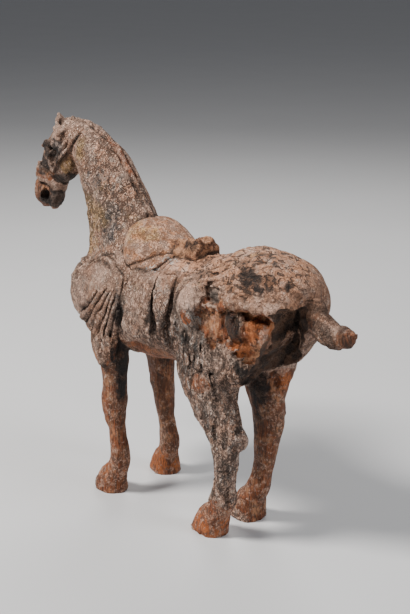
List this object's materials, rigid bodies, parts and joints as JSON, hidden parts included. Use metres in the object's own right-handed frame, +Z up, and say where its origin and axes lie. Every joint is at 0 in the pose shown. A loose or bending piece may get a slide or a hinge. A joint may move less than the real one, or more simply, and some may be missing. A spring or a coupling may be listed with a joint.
{
  "type": "carved wooden tomb horse",
  "caption": "Standing saddled horse carved from wood, with arched neck, pleated breast cloth, cropped mane, stub tail and weathered pigment over bare wood.",
  "frame": {"origin": "on the ground, below the middle of the figure's outline", "axes": "+Z up, the horse faces -Y, its left side is +X"},
  "size_m": [0.1714, 0.677, 0.586],
  "materials": {
    "carved_wood": "weathered gesso and pigment over bare carved wood"
  },
  "bodies": {
    "root": {"horse": "carved_wood"}
  },
  "joints": []
}
